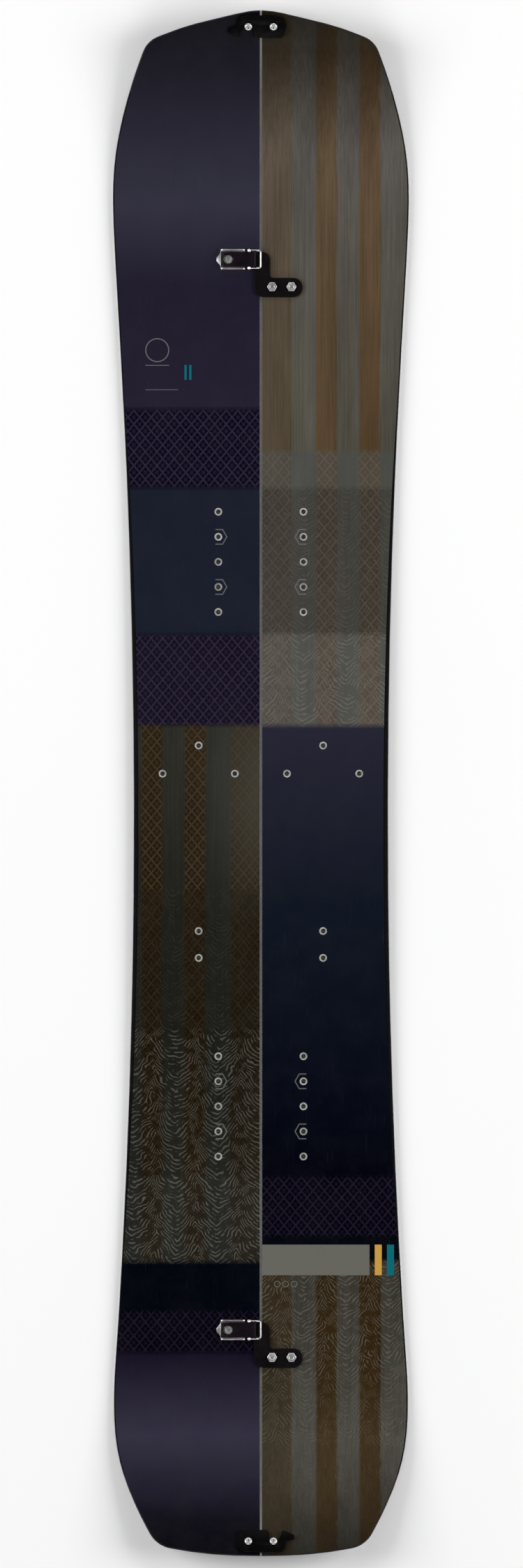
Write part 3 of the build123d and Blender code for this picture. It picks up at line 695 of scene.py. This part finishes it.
finishes = {
    "left_print": makePrint("leftPrint", leftPrintLook),
    "right_print": makePrint("rightPrint", rightPrintLook),
    "laminate": makeLaminate(),
    "core_wood": makeCore(),
    # the tip fill carries the painted seam highlight next to the seam
    "tip_fill": plainLook("tipFill", (0.012, 0.012, 0.013), 0.3, 0.5, grit=1.2, seamHighlightColor=paintedSeamHighlight),
    "sidewall": plainLook("sidewallBlack", (0.002, 0.002, 0.003), 0.3, 0.5, effect="brushed",
                          pitch=2.2, scratch=0.03, gloss=0.12),
    # the seam wall's pale grey is a painted highlight along the seam
    "seam_wall": plainLook("seamWallPaintedHighlight", paintedSeamHighlight, 0.12, 0.55, effect="brushed", pitch=2.2),
    "base_plastic": plainLook("sinteredBase", (0.012, 0.012, 0.013), 0.35, 0.42, effect="brushed",
                              pitch=3.0, bumpDepth=0.00002, scratch=0.08),
    "lever_black": plainLook("leverBlack", (0.0065, 0.0035, 0.0065), 0.35, 0.4, grit=3.0,
                             scratch=0.02, gloss=0.07, strength=0.15),
    "bracket_black": plainLook("bracketBlack", (0.0045, 0.0030, 0.0040), 0.3, 0.42, grit=4.0,
                               scratch=0.02, gloss=0.06, strength=0.15),
    "latch_black": plainLook("latchBlack", (0.0006, 0.0004, 0.0006), 0.3, 0.38, grit=2.5,
                             scratch=0.02, gloss=0.06, strength=0.12),
    "washer_black": plainLook("washerBlack", (0.016, 0.016, 0.017), 0.3, 0.5, grit=3.0),
    "edge_steel": steelLook("edgeSteel", (0.53, 0.53, 0.54), 0.16, 0.33, effect="brushed", pitch=5.0),
    "clip_steel": steelLook("clipSteel", (0.76, 0.75, 0.74), 0.14, 0.38, effect="brushed", pitch=4.0),
    "pin_steel": steelLook("pinSteel", (0.74, 0.73, 0.72), 0.1, 0.3, effect="brushed", pitch=5.0,
                           scratch=0.2),
    "insert_steel": steelLook("insertSteel", (0.68, 0.68, 0.67), 0.12, 0.44, grit=4.0),
    "screw_steel": steelLook("screwSteel", (0.66, 0.66, 0.65), 0.14, 0.37, grit=5.0),
    "bolt_steel": steelLook("boltSteel", (0.68, 0.68, 0.68), 0.14, 0.38, grit=5.0),
}

slotOf = {}
for name, node in cadNodes.items():
    for place in node.material_slots:
        slotOf[name] = place.material.name.split(".")[0]
        place.material = finishes[slotOf[name]]
print("finishes on", len(slotOf), "nodes")


# pieces made from the CAD's own surfaces
def weldedCopy(node):
    made = bmesh.new()
    made.from_mesh(cadNodes[node].data)
    bmesh.ops.remove_doubles(made, verts=made.verts, dist=1e-6)
    return made


def addPiece(name, source, body, slot, smoothAngle=None):
    # source is a bmesh or a finished mesh
    if isinstance(source, bmesh.types.BMesh):
        mesh = bpy.data.meshes.new(name)
        source.to_mesh(mesh)
        source.free()
    else:
        mesh = source
        mesh.name = name
    piece = bpy.data.objects.new(name, mesh)
    bpy.context.scene.collection.objects.link(piece)
    mesh.materials.clear()
    mesh.materials.append(finishes[slot])
    if smoothAngle:
        mesh.polygons.foreach_set("use_smooth", [True] * len(mesh.polygons))
        mesh.set_sharp_from_angle(angle=math.radians(smoothAngle))
    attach(piece, body)
    return piece


def loosePieces(node):
    # the box of every separate solid in a node
    welded = weldedCopy(node)
    left = set(welded.verts)
    boxes = []
    for first in welded.verts:
        if first not in left:
            continue
        left.remove(first)
        front, island = [first], []
        while front:
            vert = front.pop()
            island.append(vert.co.copy())
            for edge in vert.link_edges:
                other = edge.other_vert(vert)
                if other in left:
                    left.remove(other)
                    front.append(other)
        low = Vector([min(co[axis] for co in island) for axis in range(3)])
        high = Vector([max(co[axis] for co in island) for axis in range(3)])
        boxes.append((low, high))
    welded.free()
    return boxes


def bodyOf(node):
    for body, members in frame["record"]["behaviour"]["bodies"].items():
        if node in members:
            return body
    raise SystemExit("no body holds " + node)


# edges broken by a small round, so that they catch the light
rounding = {
    "width": 0.00022,
    "steps": 2,
    "flat": 0.6,     # degrees; facets flatter than this are joined first
    "sharper": 32,   # degrees; edges sharper than this are rounded
    "smooth": 28,
    "nodes": {
        "{}_lever": ("front", "rear"),
        "{}_hook_bracket": ("front", "rear"),
        "{}_clip_channel": ("front", "rear"),
        "{}_bracket_bolts": ("front", "rear"),
        "{}_clip_screws": ("front", "rear"),
        "{}_latch": ("nose", "tail"),
        "{}_pivot_washer": ("nose", "tail"),
        "{}_post_washer": ("nose", "tail"),
        "{}_pivot_bolt": ("nose", "tail"),
        "{}_post_bolt": ("nose", "tail"),
        "{}_bail_pin": ("front", "rear"),
    },
}


def roundEdges(node):
    welded = weldedCopy(node)
    bmesh.ops.dissolve_limit(
        welded, angle_limit=math.radians(rounding["flat"]), verts=welded.verts, edges=welded.edges,
        use_dissolve_boundaries=False)
    mesh = bpy.data.meshes.new("work")
    welded.to_mesh(mesh)
    welded.free()
    work = bpy.data.objects.new("work", mesh)
    bpy.context.scene.collection.objects.link(work)
    bevel = work.modifiers.new("round", "BEVEL")
    bevel.width, bevel.segments = rounding["width"], rounding["steps"]
    bevel.limit_method, bevel.angle_limit = "ANGLE", math.radians(rounding["sharper"])
    bevel.use_clamp_overlap = True
    bpy.context.view_layer.update()
    depsgraph = bpy.context.evaluated_depsgraph_get()
    finished = bpy.data.meshes.new_from_object(work.evaluated_get(depsgraph))
    bpy.data.objects.remove(work)
    piece = addPiece(node + "_rounded", finished, bodyOf(node), slotOf[node], rounding["smooth"])
    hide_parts(node)


for pattern, places in rounding["nodes"].items():
    for place in places:
        roundEdges(pattern.format(place))
print("rounded edges on", sum(len(places) for places in rounding["nodes"].values()), "pieces")

# the sidewall's bevel, from the print's edge down to the outer wall
# in millimetres, with depths below the print's top
bevelLook = {
    "top": 0.03,
    "shoulder": 0.45,       # share of the bevel's width at which the slope changes
    "shoulderDepth": 0.28,
    "lip": 1.12,
    "ledge": 1.29,
    "clear": 0.01,          # gap to the print
    "feel": 1.62,           # depth at which the outer wall is looked for, no further out than reach
    "reach": 12.0,
    "smooth": 24,
}


def outerEdge(node):
    # the upper outline of the printed top, from the seam's nose corner round to its tail corner
    welded = weldedCopy(node)
    tops = {face for face in welded.faces if face.normal.z > 0.6}
    nextTo, slope = {}, {}
    for edge in welded.edges:
        above = [face for face in edge.link_faces if face in tops]
        if len(above) != 1:
            continue
        normal = above[0].normal
        for vert, other in (edge.verts, reversed(edge.verts)):
            nextTo.setdefault(vert, []).append(other)
            slope[vert] = -normal.y / normal.z
    seam = min(abs(vert.co.x) for vert in nextTo) + 0.0002
    start = max((vert for vert in nextTo if abs(vert.co.x) < seam), key=lambda vert: vert.co.y)
    chain, last = [start], None
    turn = max(nextTo[start], key=lambda vert: abs(vert.co.x))
    while abs(turn.co.x) >= seam:
        chain.append(turn)
        onward = [vert for vert in nextTo[turn] if vert is not last and vert is not chain[-2]]
        last = turn
        turn = onward[0]
    chain.append(turn)
    points = [(vert.co.copy(), slope[vert]) for vert in chain]
    welded.free()
    return points


def makeRim(side, name):
    walls = [weldedCopy(f"{name}_{part}") for part in ("outer_sidewall", "nose_spacer", "tail_spacer")]
    trees = [BVHTree.FromBMesh(wall) for wall in walls]
    points = outerEdge(f"{name}_topsheet")
    mm = 0.001
    rim = bmesh.new()
    rings = []
    for index, (point, rise) in enumerate(points):
        before = points[max(0, index - 1)][0]
        after = points[min(len(points) - 1, index + 1)][0]
        along = (after - before).to_2d().normalized()
        out = Vector((along.y, -along.x, 0)) if side > 0 else Vector((-along.y, along.x, 0))
        if index in (0, len(points) - 1):
            out = Vector((0, 1 if index == 0 else -1, 0))
        origin = point - Vector((0, 0, bevelLook["feel"] * mm))
        hits = [tree.ray_cast(origin, out, bevelLook["reach"] * mm) for tree in trees]
        far = [hit[3] for hit in hits if hit[0] is not None]
        reachOut = max(far) if far else 1.0 * mm
        start = point + out * bevelLook["clear"] * mm

        def at(share, depth):
            spot = start + out * (reachOut - bevelLook["clear"] * mm) * share
            lift = rise * (spot.y - point.y)
            return rim.verts.new(spot + Vector((0, 0, lift - depth * mm)))

        rings.append([
            at(0, bevelLook["ledge"]), at(0, bevelLook["top"]),
            at(bevelLook["shoulder"], bevelLook["shoulderDepth"]),
            at(1, bevelLook["lip"]), at(1, bevelLook["ledge"])])
    for first, second in zip(rings, rings[1:]):
        for index in range(len(first)):
            turn = (index + 1) % len(first)
            rim.faces.new((first[index], first[turn], second[turn], second[index]))
    rim.faces.new(rings[0])
    rim.faces.new(list(reversed(rings[-1])))
    bmesh.ops.recalc_face_normals(rim, faces=rim.faces)
    for wall in walls:
        wall.free()
    addPiece(f"{name}_rim", rim, f"{name}_half", "sidewall", bevelLook["smooth"])


makeRim(-1, "left")
makeRim(1, "right")
print("sidewall bevels")

# screw threads inside the open inserts
threadLook = {
    "bore": 0.0025,
    "root": 0.00002,     # how far the thread is sunk into the bore
    "height": 0.00018,
    "flank": 0.0003,     # half its height along the bore
    "pitch": 0.001,
    "sides": 18,
    "runOut": 6,         # steps over which it fades at each end
    "margin": 0.0007,
    "smooth": 40,
}


def makeThreads(name):
    threads = bmesh.new()
    root, flank, fade = threadLook["root"], threadLook["flank"], threadLook["runOut"]
    for low, high in loosePieces(f"{name}_mount_inserts"):
        centre = (low + high) / 2
        floorZ, topZ = low.z + threadLook["margin"], high.z - threadLook["margin"]
        turns = (topZ - floorZ) / threadLook["pitch"]
        steps = int(turns * threadLook["sides"])
        rows = []
        for step in range(steps + 1):
            angle = step * math.tau / threadLook["sides"]
            z = floorZ + step * threadLook["pitch"] / threadLook["sides"]
            taper = min(1.0, step / fade, (steps - step) / fade)
            outward = Vector((math.cos(angle), math.sin(angle), 0))
            row = []
            for radius, rise in ((root, flank), (-threadLook["height"] * taper, 0), (root, -flank)):
                spot = Vector((centre.x, centre.y, z + rise)) + outward * (threadLook["bore"] + radius)
                row.append(threads.verts.new(spot))
            rows.append(row)
        for first, second in zip(rows, rows[1:]):
            for index in range(3):
                turn = (index + 1) % 3
                threads.faces.new((first[index], first[turn], second[turn], second[index]))
        threads.faces.new(rows[0])
        threads.faces.new(list(reversed(rows[-1])))
    bmesh.ops.recalc_face_normals(threads, faces=threads.faces)
    addPiece(f"{name}_threads", threads, f"{name}_half", "insert_steel", threadLook["smooth"])


makeThreads("left")
makeThreads("right")
print("insert threads")

# floor
floorLook = {
    "reach": 30.0,
    "drop": 0.0002,
    "cloud": 0.002,
    "darker": 0.985,
    "rough": 0.85,
    "gloss": 0.1,
}


def makeFloor():
    reach = floorLook["reach"]
    corners = [(-reach, -reach, 0), (reach, -reach, 0), (reach, reach, 0), (-reach, reach, 0)]
    mesh = bpy.data.meshes.new("floor")
    mesh.from_pydata(corners, [], [(0, 1, 2, 3)])
    floor = bpy.data.objects.new("floor", mesh)
    floor.location.z = -floorLook["drop"]
    bpy.context.scene.collection.objects.link(floor)
    made, tree, shader, position = newMaterial("paleFloor")
    cloud = noise(tree, position, floorLook["cloud"], 2.0)
    darker = [c * floorLook["darker"] for c in studio["floor"]]
    tree.links.new(mixColor(tree, cloud, darker, studio["floor"]), shader.inputs["Base Color"])
    shader.inputs["Roughness"].default_value = floorLook["rough"]
    shader.inputs["Specular IOR Level"].default_value = floorLook["gloss"]
    mesh.materials.append(made)


makeFloor()
print("floor")
